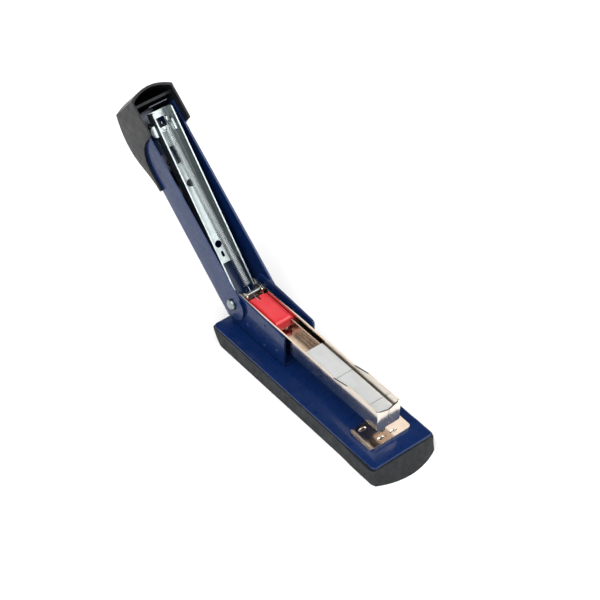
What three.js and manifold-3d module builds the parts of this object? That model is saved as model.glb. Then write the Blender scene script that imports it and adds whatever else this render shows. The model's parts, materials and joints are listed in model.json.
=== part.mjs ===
// Desk stapler, standing open for loading.
// Millimetres, +Z up, +X towards the anvil, +Y across. The origin is the middle of the underside.

import * as THREE from 'three';
import { mergeVertices } from 'three/addons/utils/BufferGeometryUtils.js';
import Module from 'manifold-3d';

const wasm = await Module();
wasm.setup();
const { Manifold, Mesh: SolidMesh } = wasm;

// ---------------------------------------------------------------- general fits
const gap = 0.3; // air left between pieces that touch on the real object
const holeSlack = 0.3; // radial air round a pin or rivet
const roundSegments = 28;

// ---------------------------------------------------------------- base
const plateLength = 142;
const plateWidth = 42;
const plateThickness = 1.8;
const plateCorner = 1.8;
const plateEdgeRound = 0.6;
const baseHeight = 12; // table to the top of the steel plate
const noseBulge = 7.6; // how far the pad's round nose runs ahead of the plate
const noseCorner = 2.5;
const padSideLip = 0.3; // pad top outside the plate's sides
const padRearLip = 0.8;
const padFlare = 0.2; // further spread of the pad at the table
const padNoseFlare = 1.0; // spread of its top beside the nose
const padNoseFlareLow = 0.5; // and at the table there
const padFlareLength = 14;
const padRearTuck = 2.0; // the pad's tail leans in at the table
const padRearCorner = 7;
const padNoseStart = 2.0; // nose corners ahead of the plate at the table

// ---------------------------------------------------------------- staples and magazine
const crownWidth = 12.9;
const stapleWire = 0.5;
const stapleLeg = 6.0;
const stripLengths = [9, 26, 26]; // front one partly used
const stapleSideSlack = 0.7;
const casingWall = 0.85;
const casingBend = 1.3;
const magazineInset = 13.1; // casing front behind the plate's front edge
const casingTail = 6.5; // casing behind the pivot
const floorBelowPin = 6.8;
const rimAbovePin = 4.6;
const cheekRise = 3.0; // the front cheeks stand above the rim
const cheekLength = 25.3;
const cheekRamp = 12.6;
const foldDrop = 2.2; // the folded front dips towards its seam
const driverSlot = 1.3;
const coreWall = 0.8;
const coreSlack = 0.25;
const accessHoleRadius = 3.9;
const accessHoleAhead = 32.5; // ahead of the pivot
const barRadius = 1.0; // bar that anchors the feed spring
const barAhead = 2.6; // of the pivot
const barAbove = 3.8;
const pusherAhead = 6.5; // pusher's back ahead of the pivot
const pusherLength = 25;
const pusherRise = 1.5; // the pusher's middle above its shoulders

// ---------------------------------------------------------------- pivot
const pinFromRear = 7.5;
const pinHeight = 16.4; // above the plate
const pinRadius = 2.0;
const pinHeadRadius = 3.4;
const pinHeadHeight = 1.9;

// ---------------------------------------------------------------- bracket
const bracketSideAir = 1.8; // casing to cheek
const bracketWall = 1.2;
const bracketBend = 1.6;
const bracketTail = 6.0; // behind the pivot
const bracketReach = 45; // ahead of the pivot
const bracketFrontTop = 6.4; // above the pivot
const bracketRearTop = 8.4;
const bracketShoulder = 13; // where the top starts to fall, ahead of the pivot
const bracketFootCut = 2.6; // the rear lower corners are cut back for the opened arm
const bracketTailDrop = 8.2; // below the pivot
const bracketFootDrop = 10.2;
const markHoleRadius = 0.7;
const markHole = [27.8, 3.4]; // ahead of the pivot and above it
const pipRadius = 1.1;
const pips = [[11.8, -8.3], [27, -13.0], [38.4, -8.2]];
const rivetRadius = 1.6;
const rivetHeadRadius = 2.6;
const rivetHeadHeight = 1.0;
const rearRivetAhead = 11.5;
const frontRivetAhead = 37.5;

// ---------------------------------------------------------------- anvil
const anvilLength = 18.2;
const anvilWidth = 29.2;
const anvilThickness = 1.3;
const anvilCorner = 2.6;
const anvilFrontInset = 10.5; // anvil front behind the plate's front edge
const pocketLength = 5.2;
const pocketWidth = 2.4;
const pocketDepth = 0.6;
const pocketForward = 0.6; // a leg enters near the pocket's rear side
const anvilPostRadius = 3.0;
const anvilButtonRadius = 6.2;
const anvilButtonHeight = 3.2;
const anvilPostDepth = 4.4; // shoulder of the button below the plate

// ---------------------------------------------------------------- carrier (inner channel of the arm)
const carrierOpenAngle = 131.2; // from lying on the magazine to the open stop, degrees
const carrierRim = 2.4; // rims above the pivot when it lies closed
const carrierHeight = 7.8;
const carrierWall = 0.8;
const carrierBend = 1.2;
const carrierWebStart = 21.5;
const carrierFrontAir = 2.8; // behind the driver slot
const carrierSideAir = 0.35;
const carrierEarBack = 10.75; // middle of the ears behind the carrier's front
const carrierEarLength = 6.6;
const carrierEarReach = 2.4;
const earRadius = 4.0; // round the pivot
const hookWindow = [9.85, 4.05]; // behind the carrier's front, far side and near side
const hookWindowHalf = 2.6;
const longSlot = [32.45, 21.45];
const longSlotHalf = 2.4;
const webHoleRadius = 2.2;
const frontHoleBack = 45.05;
const rearHoleAhead = 32.9; // of the pivot
const keyhole = [25, 28.4];
const keyholeHalf = 0.9;
const bossBack = 7.5; // boss pressed up beside the hook window
const bossAcross = 4.3;
const bossReach = [3.0, 1.6, 1.2];
const coilRadius = 2.4; // feed spring
const coilBarGap = 5; // the coil starts this far along from its bar
const springWire = 0.4;

// ---------------------------------------------------------------- arm and cap
const armLift = 9.0; // arm above the carrier at rest, degrees
const pressStroke = 4.86; // degrees
const armWall = 1.2;
const armSideAir = 0.5; // cheek to arm
const armBack = 12.3; // outside of the back above the pivot, closed
const armTaper = 1.7; // degrees
const armRim = -9.3;
const armFrontAir = 1.9; // the arm's front edge behind the driver
const armBend = 2.6;
const armEndRadius = 10;
const armBackTail = 3;
const handleRivetBack = 30; // behind the arm's front
const driverRivetBack = 7;
const handleSpringReach = 38; // rivet to the place where it rests on the carrier
const handleSpringHalf = 4.5;
const capWall = 1.2;
const capFront = 8.4; // the cap's side walls ahead of the arm
const capNoseRise = 4.2;
const capOpenEdge = -14.8;
const capSideLength = 14; // the cap's deep sides, back from the arm's front
const capTailLength = 42; // and its tail
const capTailRise = 1.4; // cap above the arm's back at its tail
const capHump = 10; // and at the thumb rest
const capHumpBack = 12; // behind the arm's front
const capNoseFall = 5; // the back falls towards the nose
const capNoseRound = 4; // and rounds over into it
const capBend = 3.2;
const driverThickness = 0.6;
const driverSideAir = 0.25;

// ---------------------------------------------------------------- worked-out places
const rad = THREE.MathUtils.degToRad;
const baseLength = padRearLip + plateLength + noseBulge;
const plateRear = -baseLength / 2 + padRearLip;
const plateFront = plateRear + plateLength;
const deckZ = baseHeight;
const plateBottom = deckZ - plateThickness;
const padTop = plateBottom - gap;
const pinX = plateRear + pinFromRear;
const pinZ = deckZ + pinHeight;

const casingInner = crownWidth / 2 + stapleSideSlack;
const casingHalf = casingInner + casingWall;
const casingFront = plateFront - magazineInset;
const casingRear = pinX - casingTail;
const casingBottom = pinZ - floorBelowPin;
const casingRim = pinZ + rimAbovePin;
const cheekTop = casingRim + cheekRise;
const casingFloor = casingBottom + casingWall;
const slotFront = casingFront - casingWall;
const slotRear = slotFront - driverSlot;
const slotMiddle = (slotFront + slotRear) / 2;

const crownTop = pinZ + carrierRim - gap;
const crownBottom = crownTop - stapleWire;
const coreTop = crownBottom - gap;
const coreHalf = crownWidth / 2 - stapleWire - coreSlack;
const coreInner = coreHalf - coreWall;
const coreBottom = casingFloor + gap;
const coreFloor = coreBottom + coreWall;
const coreRear = pinX + 0.6;
const coreFront = slotRear - gap;

const bracketInner = casingHalf + bracketSideAir;
const bracketHalf = bracketInner + bracketWall;
const bracketBottom = deckZ + gap;
const bracketFloor = bracketBottom + bracketWall;
const armInner = bracketHalf + armSideAir;
const armHalf = armInner + armWall;
const pinHeadSeat = armHalf + gap;

const barX = pinX + barAhead;
const barZ = pinZ + barAbove;
const pusherRear = pinX + pusherAhead;
const pusherFront = pusherRear + pusherLength;

const carrierHalf = casingInner - carrierSideAir;
const carrierInner = carrierHalf - carrierWall;
const carrierWeb = carrierRim + carrierHeight;
const carrierFront = slotRear - pinX - carrierFrontAir;
const carrierEarAt = carrierFront - carrierEarBack;
const armFront = slotMiddle - pinX - armFrontAir;
const capSideRear = armFront - capSideLength;
const capTail = armFront - capTailLength;
const capHumpAt = armFront - capHumpBack;
const handleSpringRivetX = armFront - handleRivetBack;
const driverRivetX = armFront - driverRivetBack;
const anvilX = plateFront - anvilFrontInset - anvilLength / 2;
const anvilBottom = deckZ + gap;
const anvilTop = anvilBottom + anvilThickness;

// ---------------------------------------------------------------- materials
const finish = (color, roughness, metalness) =>
  new THREE.MeshStandardMaterial({ color, roughness, metalness });
const navyPaint = () => finish(0x101d52, 0.35, 0.2);
const padRubber = () => finish(0x3a3d3f, 0.8, 0.0);
const chrome = () => finish(0xcfcac4, 0.12, 1.0);
const nickel = () => finish(0xd8cfc4, 0.2, 1.0);
const zinc = () => finish(0xb9c2bd, 0.35, 1.0);
const springSteel = () => finish(0x8e8f8c, 0.4, 1.0);
const stapleSteel = () => finish(0xc9d0ce, 0.3, 1.0);
const redPlastic = () => finish(0xe23440, 0.4, 0.0);
const blackPlastic = () => finish(0x1a1b1c, 0.55, 0.0);

// ---------------------------------------------------------------- solids
// A manifold-3d solid of any closed three.js geometry.
function solid(geometry) {
  const bare = geometry.clone();
  bare.deleteAttribute('normal');
  bare.deleteAttribute('uv');
  const merged = mergeVertices(bare, 1e-4);
  return new Manifold(new SolidMesh({
    numProp: 3,
    vertProperties: new Float32Array(merged.attributes.position.array),
    triVerts: new Uint32Array(merged.index.array),
  }));
}

// The three.js geometry of a manifold-3d solid.
function geometryOf(body) {
  const mesh = body.getMesh();
  const geometry = new THREE.BufferGeometry();
  geometry.setAttribute('position', new THREE.BufferAttribute(mesh.vertProperties, 3));
  geometry.setIndex(new THREE.BufferAttribute(mesh.triVerts, 1));
  const flat = geometry.toNonIndexed();
  flat.computeVertexNormals();
  return flat;
}

function extruded(shape, depth) {
  return new THREE.ExtrudeGeometry(shape, { depth, bevelEnabled: false, curveSegments: 6 });
}

// A shape drawn in (x, z) and pulled across Y.
function acrossY(shape, y0, y1) {
  return solid(extruded(shape, y1 - y0).rotateX(Math.PI / 2).translate(0, y1, 0));
}

// A shape drawn in (x, y) and pulled up Z.
function upZ(shape, z0, z1) {
  return solid(extruded(shape, z1 - z0).translate(0, 0, z0));
}

// A section drawn in (y, z) and pulled along X.
function alongX(section, x0, x1) {
  const turn = new THREE.Matrix4().makeBasis(
    new THREE.Vector3(0, 1, 0), new THREE.Vector3(0, 0, 1), new THREE.Vector3(1, 0, 0));
  return solid(extruded(section, x1 - x0).applyMatrix4(turn).translate(x0, 0, 0));
}

function box(x0, x1, y0, y1, z0, z1) {
  const block = new THREE.BoxGeometry(x1 - x0, y1 - y0, z1 - z0);
  return solid(block.translate((x0 + x1) / 2, (y0 + y1) / 2, (z0 + z1) / 2));
}

function rodY(radius, x, z, y0, y1) {
  const rod = new THREE.CylinderGeometry(radius, radius, y1 - y0, roundSegments);
  return solid(rod.translate(x, (y0 + y1) / 2, z));
}

function rodZ(radius, x, y, z0, z1) {
  const rod = new THREE.CylinderGeometry(radius, radius, z1 - z0, roundSegments);
  return solid(rod.rotateX(Math.PI / 2).translate(x, y, (z0 + z1) / 2));
}

// A domed head standing on z = 0, its axis along +Z.
function domedHead(radius, height) {
  const edge = height * 0.35;
  const outline = [new THREE.Vector2(0, 0), new THREE.Vector2(radius, 0), new THREE.Vector2(radius, edge)];
  for (let step = 1; step <= 5; step += 1) {
    const turn = (step / 5) * Math.PI / 2;
    outline.push(new THREE.Vector2(
      step === 5 ? 0 : radius * Math.cos(turn), edge + (height - edge) * Math.sin(turn)));
  }
  return new THREE.LatheGeometry(outline, roundSegments).rotateX(Math.PI / 2);
}

// A round wire along a list of points.
function wireAlong(points, radius, steps) {
  const section = new THREE.Shape().absarc(0, 0, radius, 0, Math.PI * 2);
  const path = new THREE.CatmullRomCurve3(points, false, 'centripetal');
  return solid(new THREE.ExtrudeGeometry(section, {
    extrudePath: path, steps, bevelEnabled: false, curveSegments: 4,
  }));
}

// A closed outline through the points, each corner rounded by its own radius (0 keeps it sharp).
function outlineOf(corners) {
  const shape = new THREE.Shape();
  const count = corners.length;
  corners.forEach(([x, y, radius], index) => {
    const here = new THREE.Vector2(x, y);
    const back = new THREE.Vector2(...corners[(index + count - 1) % count]).sub(here);
    const ahead = new THREE.Vector2(...corners[(index + 1) % count]).sub(here);
    const half = Math.abs(Math.PI - Math.abs(wrapAngle(ahead.angle() - back.angle()))) / 2;
    const run = radius * Math.tan(half);
    const start = here.clone().add(back.setLength(run));
    const end = here.clone().add(ahead.setLength(run));
    const move = index === 0 ? 'moveTo' : 'lineTo';
    if (radius > 0) {
      shape[move](start.x, start.y);
      shape.quadraticCurveTo(x, y, end.x, end.y);
    } else {
      shape[move](x, y);
    }
  });
  shape.closePath();
  return shape;
}

function wrapAngle(angle) {
  return Math.atan2(Math.sin(angle), Math.cos(angle));
}

// A rectangle with rounded corners in the plane of the shape.
function roundedRectangle(x0, x1, y0, y1, radius) {
  return outlineOf([[x0, y0, radius], [x1, y0, radius], [x1, y1, radius], [x0, y1, radius]]);
}

// The section of a sheet-metal channel, drawn in (y, z): a web and two walls standing up from it.
// up is 1 when the walls rise from the web and -1 when they hang from it.
function channelSection(half, wall, bend, webZ, length, up) {
  const inner = half - wall;
  const inBend = Math.max(bend - wall, 0.05);
  const z = (level) => webZ + up * level;
  return outlineOf([
    [-half, z(length), 0], [-half, z(0), bend], [half, z(0), bend], [half, z(length), 0],
    [inner, z(length), 0], [inner, z(wall), inBend], [-inner, z(wall), inBend], [-inner, z(length), 0],
  ]);
}

// ---------------------------------------------------------------- base pieces
// How far through a soft step x has come, from 0 before start to 1 past end.
function softStep(x, start, end) {
  const share = THREE.MathUtils.clamp((x - start) / (end - start), 0, 1);
  return share * share * (3 - 2 * share);
}

// One ring of the pad's outline: round rear corners, sides that flare beside the nose, and a bulging nose.
function padRing(half, flare, rear, front, bulge, rearCorner, z) {
  const ring = [];
  const flareStart = plateFront - 2 * padFlareLength;
  const halfAt = (x) => half + flare * softStep(x, flareStart, flareStart + padFlareLength);
  const side = [];
  for (let step = 0; step <= 8; step += 1) {
    side.push(flareStart + ((front - noseCorner - flareStart) * step) / 8);
  }
  const corner = (cx, cy, radius, from) => {
    for (let step = 0; step <= 6; step += 1) {
      const turn = from + (step / 6) * Math.PI / 2;
      ring.push([cx + radius * Math.cos(turn), cy + radius * Math.sin(turn), z]);
    }
  };
  corner(rear + rearCorner, -half + rearCorner, rearCorner, Math.PI);
  side.forEach((x) => ring.push([x, -halfAt(x), z]));
  const nose = halfAt(front) - noseCorner * 0.4;
  for (let step = 0; step <= 16; step += 1) {
    const across = -nose + (2 * nose * step) / 16;
    ring.push([front + bulge * (1 - (across / nose) ** 2), across, z]);
  }
  side.reverse().forEach((x) => ring.push([x, halfAt(x), z]));
  corner(rear + rearCorner, half - rearCorner, rearCorner, Math.PI / 2);
  return ring;
}

// A closed solid through rings that hold the same number of points, lowest ring first.
function loft(rings) {
  const size = rings[0].length;
  const cap = THREE.ShapeUtils.triangulateShape(rings[0].map(([x, y]) => new THREE.Vector2(x, y)), []);
  const index = [];
  cap.forEach(([a, b, c]) => index.push(a, c, b));
  const top = (rings.length - 1) * size;
  cap.forEach(([a, b, c]) => index.push(top + a, top + b, top + c));
  for (let level = 0; level + 1 < rings.length; level += 1) {
    for (let step = 0; step < size; step += 1) {
      const a = level * size + step;
      const b = level * size + ((step + 1) % size);
      index.push(a, b, b + size, a, b + size, a + size);
    }
  }
  const geometry = new THREE.BufferGeometry();
  geometry.setAttribute('position', new THREE.Float32BufferAttribute(rings.flat(2), 3));
  geometry.setIndex(index);
  return solid(geometry);
}

function basePad() {
  const half = plateWidth / 2 + padSideLip;
  const levels = 5;
  const rings = [];
  for (let level = 0; level <= levels; level += 1) {
    const rise = level / levels;
    const spread = (1 - rise) ** 1.5;
    const noseStart = padSideLip + (padNoseStart - padSideLip) * spread;
    rings.push(padRing(
      half + padFlare * spread,
      padNoseFlare + (padNoseFlareLow - padNoseFlare) * spread,
      plateRear - padRearLip + padRearTuck * spread,
      plateFront + noseStart,
      (noseBulge - padNoseStart) * (1 - rise ** 2),
      plateCorner + (padRearCorner - plateCorner) * spread,
      padTop * rise));
  }
  const buttonWell = rodZ(anvilButtonRadius + 1, anvilX, 0, -1, padTop + 1);
  let pad = loft(rings).subtract(buttonWell);
  [rearRivetAhead, frontRivetAhead].forEach((ahead) => {
    pad = pad.subtract(rodZ(rivetHeadRadius + gap, pinX + ahead, 0, padTop - 2.4, padTop + 1));
  });
  return pad;
}

function basePlate() {
  const inset = plateEdgeRound;
  const face = roundedRectangle(
    plateRear + inset, plateFront - inset, -plateWidth / 2 + inset, plateWidth / 2 - inset, plateCorner);
  const sheet = new THREE.ExtrudeGeometry(face, {
    depth: plateThickness - 2 * inset, bevelEnabled: true, bevelSize: inset,
    bevelThickness: inset, bevelSegments: 3, curveSegments: 6,
  });
  let plate = solid(sheet.translate(0, 0, plateBottom + inset));
  plate = plate.subtract(rodZ(anvilPostRadius + holeSlack, anvilX, 0, 0, deckZ + 1));
  [rearRivetAhead, frontRivetAhead].forEach((ahead) => {
    plate = plate.subtract(rodZ(rivetRadius + holeSlack, pinX + ahead, 0, 0, deckZ + 1));
  });
  return plate;
}

function bracket() {
  const rear = pinX - bracketTail;
  const front = pinX + bracketReach;
  const rearTop = pinZ + bracketRearTop;
  const frontTop = pinZ + bracketFrontTop;
  const floorRear = rear + bracketFootCut;
  const sideView = outlineOf([
    [floorRear, bracketBottom, 0], [front, bracketBottom, 0], [front, frontTop, 2.4],
    [pinX + bracketShoulder, rearTop, 12], [rear, rearTop, 6],
    [rear, pinZ - bracketTailDrop, 1.5], [floorRear, pinZ - bracketFootDrop, 1],
  ]);
  const section = channelSection(
    bracketHalf, bracketWall, bracketBend, bracketBottom, rearTop - bracketBottom + 1, 1);
  let body = alongX(section, rear, front).intersect(acrossY(sideView, -bracketHalf - 1, bracketHalf + 1));
  body = body.subtract(rodY(pinRadius + holeSlack, pinX, pinZ, -bracketHalf - 1, bracketHalf + 1));
  [rearRivetAhead, frontRivetAhead].forEach((ahead) => {
    body = body.subtract(rodZ(rivetRadius + holeSlack, pinX + ahead, 0, deckZ, bracketFloor + 1));
  });
  // Stamped marks on both cheeks: a small hole near the top and three raised pips lower down.
  [-1, 1].forEach((side) => {
    const wallMiddle = side * (bracketHalf - bracketWall / 2);
    body = body.subtract(rodY(markHoleRadius, pinX + markHole[0], pinZ + markHole[1],
      wallMiddle - bracketWall, wallMiddle + bracketWall));
    pips.forEach(([ahead, above]) => {
      const pip = new THREE.SphereGeometry(1, 12, 8).scale(pipRadius, pipRadius / 3, pipRadius);
      body = body.add(solid(pip.translate(pinX + ahead, side * bracketHalf, pinZ + above)));
    });
  });
  return body;
}

function bracketRivet(ahead, seat) {
  const tail = solid(new THREE.CylinderGeometry(
    rivetRadius + 0.7, rivetRadius + 0.7, 1.2, roundSegments).rotateX(Math.PI / 2));
  return solid(domedHead(rivetHeadRadius, rivetHeadHeight).translate(pinX + ahead, 0, seat + gap))
    .add(rodZ(rivetRadius, pinX + ahead, 0, plateBottom - 1, seat + gap + 0.1))
    .add(tail.translate(pinX + ahead, 0, plateBottom - gap - 0.6));
}

function pivotPin() {
  const head = solid(domedHead(pinHeadRadius, pinHeadHeight).rotateX(-Math.PI / 2)
    .translate(pinX, pinHeadSeat, pinZ));
  const farHead = solid(domedHead(pinHeadRadius, pinHeadHeight).rotateX(Math.PI / 2)
    .translate(pinX, -pinHeadSeat, pinZ));
  return rodY(pinRadius, pinX, pinZ, -pinHeadSeat - 0.2, pinHeadSeat + 0.2).add(head).add(farHead);
}

// A leaf spring drawn along its middle line in (x, z), given a thickness and pulled across Y.
function leaf(points, thickness, y0, y1) {
  const line = new THREE.SplineCurve(points.map(([x, z]) => new THREE.Vector2(x, z)));
  const steps = 18;
  const above = [];
  const below = [];
  for (let step = 0; step <= steps; step += 1) {
    const at = line.getPoint(step / steps);
    const along = line.getTangent(step / steps);
    const side = new THREE.Vector2(-along.y, along.x).multiplyScalar(thickness / 2);
    above.push(at.clone().add(side));
    below.push(at.clone().sub(side));
  }
  return acrossY(new THREE.Shape(below.concat(above.reverse())), y0, y1);
}

const leafThickness = 0.8;
const liftSpringSeat = bracketFloor + gap + leafThickness;

function liftSpring() {
  const flat = bracketFloor + gap + leafThickness / 2;
  const high = casingBottom - gap - leafThickness / 2;
  const spring = leaf([
    [pinX + 7.5, flat], [pinX + 11.5, flat], [pinX + 16, flat + 0.2],
    [pinX + 30, flat + 3.2], [pinX + 40, high - 0.5], [pinX + 43, high], [pinX + 45.5, high - 0.7],
  ], leafThickness, -4, 4);
  return spring.subtract(rodZ(rivetRadius + holeSlack, pinX + rearRivetAhead, 0, deckZ, casingBottom));
}

// ---------------------------------------------------------------- anvil pieces
function anvilPlate() {
  const face = roundedRectangle(
    anvilX - anvilLength / 2, anvilX + anvilLength / 2, -anvilWidth / 2, anvilWidth / 2, anvilCorner);
  let plate = upZ(face, anvilBottom, anvilTop);
  // Bending pockets for the two legs: the front pair turns them inwards, the rear pair outwards.
  const pocketAhead = slotMiddle + pocketForward - anvilX;
  const legAt = (crownWidth - stapleWire) / 2;
  [[pocketAhead, -1], [-pocketAhead, 1]].forEach(([ahead, outward]) => {
    [-1, 1].forEach((side) => {
      const middle = side * (legAt + outward * (pocketLength / 2 - 0.9));
      const bowl = new THREE.SphereGeometry(1, 16, 10).scale(pocketWidth / 2, pocketLength / 2, pocketDepth);
      plate = plate.subtract(solid(bowl.translate(anvilX + ahead, middle, anvilTop)));
    });
  });
  return plate.subtract(rodZ(anvilPostRadius - 0.6 + holeSlack, anvilX, 0, 0, anvilTop + 1));
}

function anvilPost() {
  const neck = rodZ(anvilPostRadius - 0.6, anvilX, 0, anvilBottom - gap - 0.1, anvilTop - 0.05);
  return neck.add(rodZ(anvilPostRadius, anvilX, 0, plateBottom - anvilPostDepth, anvilBottom - gap));
}

const buttonTop = plateBottom - anvilPostDepth - gap;

function anvilButton() {
  const bottom = buttonTop - anvilButtonHeight;
  const flange = rodZ(anvilButtonRadius, anvilX, 0, buttonTop - 1.2, buttonTop);
  return flange.add(rodZ(anvilButtonRadius - 1.2, anvilX, 0, bottom, buttonTop));
}

function anvilSpring() {
  const inner = anvilPostRadius + 0.5;
  const outer = inner + 1.3;
  const low = buttonTop + gap;
  const high = plateBottom - gap;
  const outline = [[inner, low], [outer, low], [outer, high], [inner, high], [inner, low]];
  const ring = new THREE.LatheGeometry(outline.map(([r, z]) => new THREE.Vector2(r, z)), roundSegments);
  return solid(ring.rotateX(Math.PI / 2).translate(anvilX, 0, 0));
}

// ---------------------------------------------------------------- magazine pieces
function magazineCasing() {
  const cheekRear = casingFront - cheekLength;
  const sideView = outlineOf([
    [casingRear, casingBottom, 3], [casingFront, casingBottom, 0], [casingFront, cheekTop, 1.0],
    [cheekRear, cheekTop, 8], [cheekRear - cheekRamp, casingRim, 8], [casingRear, casingRim, 2.5],
  ]);
  const section = channelSection(
    casingHalf, casingWall, casingBend, casingBottom, cheekTop - casingBottom + 1, 1);
  const channel = alongX(section, casingRear, casingFront);
  // Both walls fold in across the front and meet at a seam, lower at the middle.
  const seam = 0.15;
  let body = channel;
  [-1, 1].forEach((side) => {
    const fold = outlineOf([
      [side * seam, casingBottom, 0], [side * (casingHalf - 0.6), casingBottom, 0],
      [side * (casingHalf - 0.6), cheekTop, 0], [side * seam, cheekTop - foldDrop, 0],
    ]);
    body = body.add(alongX(fold, slotFront, casingFront));
  });
  body = body.intersect(acrossY(sideView, -casingHalf - 1, casingHalf + 1));
  // The floor stops short so that a staple can leave through the slot.
  body = body.subtract(box(
    slotRear - 0.1, slotFront, -casingInner, casingInner, casingBottom - 1, casingFloor + 0.5));
  body = body.subtract(box(slotFront - 0.1, casingFront + 1, -seam, seam, casingBottom - 1, cheekTop + 1));
  body = body.subtract(rodY(pinRadius + holeSlack, pinX, pinZ, -casingHalf - 1, casingHalf + 1));
  coreRivetPlaces.forEach((x) => {
    body = body.subtract(rodZ(rivetRadius + holeSlack, x, 0, casingBottom - 1, casingFloor + 0.5));
  });
  return body;
}

const coreRivetPlaces = [pinX + 20, casingFront - 20];

function coreRivet(x) {
  const head = solid(domedHead(rivetHeadRadius, rivetHeadHeight).translate(x, 0, coreFloor + gap));
  return rodZ(rivetRadius, x, 0, casingBottom + 0.1, coreFloor + gap + 0.1).add(head);
}

function coreRail() {
  const earTop = barZ + barRadius + 0.5;
  const sideView = outlineOf([
    [coreRear, coreBottom, 0], [coreFront, coreBottom, 0], [coreFront, coreTop, 1.5],
    [coreRear + 5.4, coreTop, 1], [coreRear + 4.2, earTop, 1.4], [coreRear, earTop, 1.2],
  ]);
  const section = channelSection(coreHalf, coreWall, 1.0, coreBottom, earTop - coreBottom + 1, 1);
  let body = alongX(section, coreRear, coreFront).intersect(acrossY(sideView, -coreHalf - 1, coreHalf + 1));
  body = body.subtract(rodY(pinRadius + 0.7, pinX, pinZ, -coreHalf - 1, coreHalf + 1));
  body = body.subtract(rodY(barRadius + holeSlack, barX, barZ, -coreHalf - 1, coreHalf + 1));
  body = body.subtract(rodZ(accessHoleRadius, pinX + accessHoleAhead, 0, coreBottom - 0.1, coreFloor + 0.1));
  coreRivetPlaces.forEach((x) => {
    body = body.subtract(rodZ(rivetRadius + holeSlack, x, 0, coreBottom - 1, coreFloor + 0.5));
  });
  return body;
}

function springBar() {
  return rodY(barRadius, barX, barZ, -coreHalf, coreHalf);
}

const stripEnds = [];
stripLengths.reduce((front, length) => {
  stripEnds.push([front - length, front]);
  return front - length - gap;
}, coreFront);

function stapleStrip([rear, front]) {
  const half = crownWidth / 2;
  const section = outlineOf([
    [-half, crownTop - stapleWire - stapleLeg, 0], [-half, crownTop, 0.4], [half, crownTop, 0.4],
    [half, crownTop - stapleWire - stapleLeg, 0], [half - stapleWire, crownTop - stapleWire - stapleLeg, 0],
    [half - stapleWire, crownBottom, 0.1], [-half + stapleWire, crownBottom, 0.1],
    [-half + stapleWire, crownTop - stapleWire - stapleLeg, 0],
  ]);
  return alongX(section, rear, front);
}

// The pusher sits in the core rail, saddles its walls and fills the casing from side to side.
function pusher() {
  const shoulder = crownTop;
  const middle = coreInner - gap;
  const low = coreFloor + gap + rivetHeadHeight + gap;
  const skirtOut = casingInner - 0.4;
  const skirtIn = coreHalf + coreSlack;
  const skirtLow = crownTop - stapleLeg;
  const section = outlineOf([
    [-middle, low, 0.8], [middle, low, 0.8], [middle, coreTop + gap, 0], [skirtIn, coreTop + gap, 0],
    [skirtIn, skirtLow, 0], [skirtOut, skirtLow, 0], [skirtOut, shoulder, 0], [coreHalf - 0.3, shoulder, 0.3],
    [coreHalf - 0.9, shoulder + pusherRise, 0.8], [-coreHalf + 0.9, shoulder + pusherRise, 0.8],
    [-coreHalf + 0.3, shoulder, 0.3], [-skirtOut, shoulder, 0], [-skirtOut, skirtLow, 0],
    [-skirtIn, skirtLow, 0], [-skirtIn, coreTop + gap, 0], [-middle, coreTop + gap, 0],
  ]);
  const sideView = outlineOf([
    [pusherRear, low - 1, 0], [pusherFront, low - 1, 0],
    [pusherFront, shoulder + pusherRise, 3.5], [pusherRear, shoulder + pusherRise, 0.8],
  ]);
  const body = alongX(section, pusherRear, pusherFront).intersect(acrossY(sideView, -casingHalf, casingHalf));
  const hookSlot = box(pusherRear - 1, pusherRear + 3.4, -1.1, 1.1, pinZ + 0.4, shoulder + pusherRise + 1);
  return body.subtract(hookSlot);
}

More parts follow.
